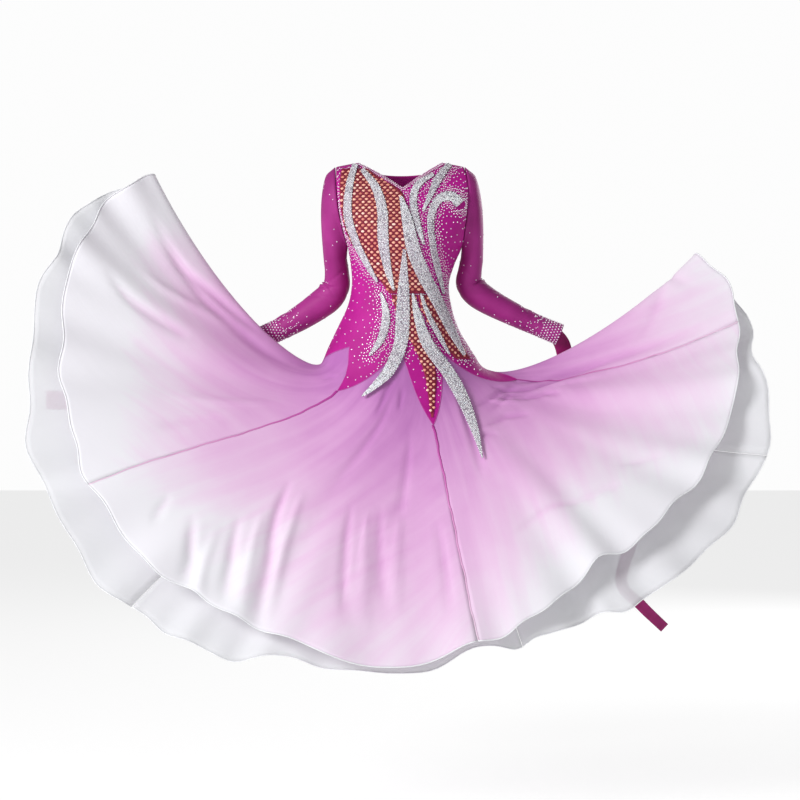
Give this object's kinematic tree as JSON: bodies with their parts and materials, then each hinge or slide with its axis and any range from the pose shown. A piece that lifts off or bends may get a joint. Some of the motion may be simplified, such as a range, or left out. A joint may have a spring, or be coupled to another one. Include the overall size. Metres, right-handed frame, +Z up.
{
  "type": "ballroom dance dress",
  "caption": "Worn ballroom dance dress: fitted long-sleeved bodice with net insets and stoned bands, zigzag hip seam, and a wide ombre skirt over an underskirt, swept open to both sides.",
  "frame": {"origin": "middle of the shoulder line, where the wearer's shoulders hold the dress up", "axes": "+Z up, -Y the way the dress faces, +X to the right of a viewer who stands in front of it"},
  "size_m": [1.7004, 0.9755, 1.1518],
  "materials": {
    "velvet": "magenta stretch velvet with a soft sheen",
    "stretch_mesh": "sheer magenta stretch mesh",
    "organza_ombre": "crisp organza dyed from orchid at the hips to white at the hem",
    "organza_white": "sheer white organza",
    "net": "dark red fishnet with a salmon stone in each mesh",
    "stones": "clear cut glass stones set close together on a strip of cloth",
    "float_cloth": "dark magenta chiffon ribbon"
  },
  "bodies": {
    "root": {"bodice_front": "velvet", "bodice_back": "velvet", "skirt_side_left": "organza_ombre", "skirt_front_left": "organza_ombre", "skirt_front_right": "organza_ombre", "skirt_side_right": "organza_ombre", "skirt_back_right": "organza_ombre", "skirt_back_left": "organza_ombre", "skirt_rear_left": "organza_ombre", "under_side_left": "organza_white", "under_front_left": "organza_white", "under_front_right": "organza_white", "under_side_right": "organza_white", "under_back_right": "organza_white", "under_back_left": "organza_white", "under_rear_left": "organza_white", "sleeve_left": "stretch_mesh", "sleeve_right": "stretch_mesh", "net_chest": "net", "net_hip": "net", "net_front_point": "net", "band_shoulder_left_outer": "stones", "band_shoulder_left_inner": "stones", "band_neck_centre": "stones", "band_neck_right": "stones", "band_shoulder_right": "stones", "band_armhole_right": "stones", "band_hip_left": "stones", "band_waist_right": "stones", "band_tail_left": "stones", "band_tail_right": "stones", "float_left": "float_cloth", "float_right": "float_cloth"}
  },
  "joints": []
}
